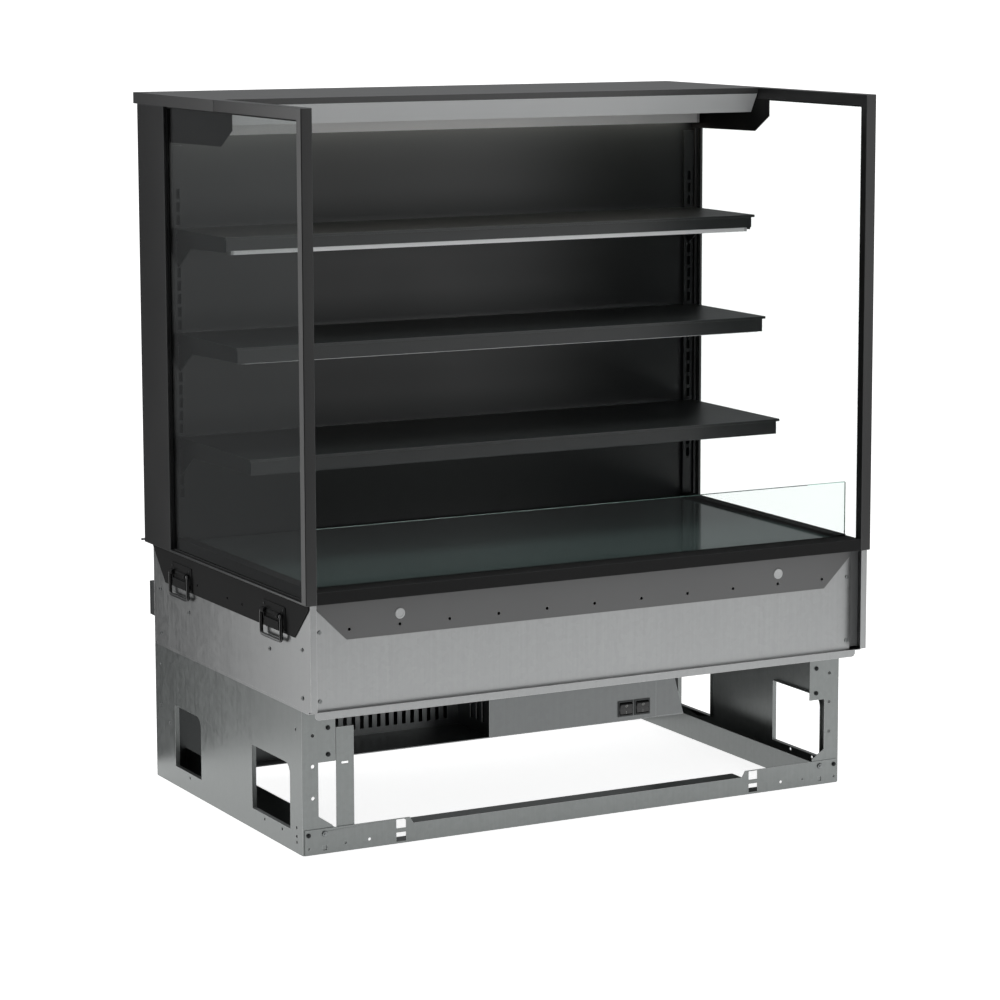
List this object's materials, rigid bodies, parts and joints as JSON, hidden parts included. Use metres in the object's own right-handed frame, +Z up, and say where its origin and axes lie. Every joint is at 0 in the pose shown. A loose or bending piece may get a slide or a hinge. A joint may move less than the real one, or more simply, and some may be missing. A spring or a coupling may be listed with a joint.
{
  "type": "open-front display case",
  "caption": "Open-front lit display case with shelves and side glass, to drop into a counter, on a galvanised housing and base frame.",
  "frame": {"origin": "on the floor, under the middle of the case's outline", "axes": "+Z up, +X to the right as the customer faces the case, -Y towards the customer"},
  "size_m": [1.2266, 0.79, 1.369],
  "materials": {
    "black_powder": "fine satin powder coat",
    "charcoal_powder": "satin powder coat",
    "deck_enamel": "glossy black",
    "roof_powder": "satin dark grey",
    "grey_powder": "satin light grey",
    "lamp_opal": "opal diffuser",
    "clear_glass": "clear, polished edges",
    "galvanised_steel": "dull zinc, faint mill grain",
    "screw_steel": "zinc plated",
    "black_steel": "semi-gloss black",
    "plug_plastic": "light grey, matt",
    "dark_plastic": "moulded, fine grain",
    "rocker_plastic": "gloss black",
    "driver_metal": "anodised case"
  },
  "bodies": {
    "case": {"apron_plugs": "plug_plastic", "back_panel": "charcoal_powder", "base_front_rail": "galvanised_steel", "base_rear_rail": "galvanised_steel", "base_side_left": "galvanised_steel", "base_side_right": "galvanised_steel", "box_end_cover": "galvanised_steel", "canopy_end_left": "black_powder", "canopy_end_right": "black_powder", "canopy_fascia": "grey_powder", "canopy_lamp": "lamp_opal", "cord_gland": "dark_plastic", "deck_bearers": "galvanised_steel", "deck_front_rail": "black_powder", "deck_side_rails": "black_powder", "electrical_box": "galvanised_steel", "equipment_tray": "galvanised_steel", "front_apron": "black_powder", "front_stay": "galvanised_steel", "guard_glass": "clear_glass", "handle_plates": "black_steel", "housing_back": "galvanised_steel", "housing_floor": "galvanised_steel", "housing_front": "galvanised_steel", "housing_side_left": "galvanised_steel", "housing_side_right": "galvanised_steel", "led_driver": "driver_metal", "panel_screws": "screw_steel", "power_inlet_box": "dark_plastic", "rear_beams": "black_powder", "rear_cover": "black_powder", "rear_lamp": "grey_powder", "roof_panel": "roof_powder", "shelf_upright_left": "charcoal_powder", "shelf_upright_right": "charcoal_powder", "side_frame_left": "black_powder", "side_frame_right": "black_powder", "side_glass_left": "clear_glass", "side_glass_right": "clear_glass", "side_skirt_left": "black_powder", "side_skirt_right": "black_powder", "switch_frames": "dark_plastic", "terminal_block": "dark_plastic", "vent_panel": "galvanised_steel"},
    "shelf_upper": {"shelf_upper": "charcoal_powder", "shelf_upper_brackets": "charcoal_powder", "shelf_upper_lamp": "lamp_opal"},
    "shelf_middle": {"shelf_middle": "charcoal_powder", "shelf_middle_brackets": "charcoal_powder", "shelf_middle_lamp": "lamp_opal"},
    "shelf_lower": {"shelf_lower": "charcoal_powder", "shelf_lower_brackets": "charcoal_powder", "shelf_lower_lamp": "lamp_opal"},
    "deck_pan": {"deck_pan": "deck_enamel"},
    "front_handle_left": {"front_handle_left": "black_steel"},
    "front_handle_right": {"front_handle_right": "black_steel"},
    "rear_handle_left": {"rear_handle_left": "black_steel"},
    "rear_handle_right": {"rear_handle_right": "black_steel"},
    "power_rocker": {"power_rocker": "rocker_plastic"},
    "light_rocker": {"light_rocker": "rocker_plastic"}
  },
  "joints": [
    {"name": "shelf_upper_tilt", "type": "hinge", "parent": "case", "child": "shelf_upper", "pos_m": [0, 0.249, 1.092], "axis": [-1, 0, 0], "range_deg": [0, 12]},
    {"name": "shelf_middle_tilt", "type": "hinge", "parent": "case", "child": "shelf_middle", "pos_m": [0, 0.249, 0.8888], "axis": [-1, 0, 0], "range_deg": [0, 12]},
    {"name": "shelf_lower_tilt", "type": "hinge", "parent": "case", "child": "shelf_lower", "pos_m": [0, 0.249, 0.6856], "axis": [-1, 0, 0], "range_deg": [0, 12]},
    {"name": "deck_pan_lift", "type": "slide", "parent": "case", "child": "deck_pan", "axis": [0, 0, 1], "range_m": [0, 0.05]},
    {"name": "front_handle_left_swing", "type": "hinge", "parent": "case", "child": "front_handle_left", "pos_m": [-0.6078, -0.243, 0.444], "axis": [0, 1, 0], "range_deg": [0, 90]},
    {"name": "front_handle_right_swing", "type": "hinge", "parent": "case", "child": "front_handle_right", "pos_m": [0.6078, -0.243, 0.444], "axis": [0, -1, 0], "range_deg": [0, 90]},
    {"name": "rear_handle_left_swing", "type": "hinge", "parent": "case", "child": "rear_handle_left", "pos_m": [-0.6078, 0.197, 0.444], "axis": [0, 1, 0], "range_deg": [0, 90]},
    {"name": "rear_handle_right_swing", "type": "hinge", "parent": "case", "child": "rear_handle_right", "pos_m": [0.6078, 0.197, 0.444], "axis": [0, -1, 0], "range_deg": [0, 90]},
    {"name": "power_rocker_tip", "type": "hinge", "parent": "case", "child": "power_rocker", "pos_m": [0.117, -0.282, 0.1935], "axis": [-1, 0, 0], "range_deg": [0, 12]},
    {"name": "light_rocker_tip", "type": "hinge", "parent": "case", "child": "light_rocker", "pos_m": [0.154, -0.282, 0.1935], "axis": [-1, 0, 0], "range_deg": [0, 12]}
  ]
}
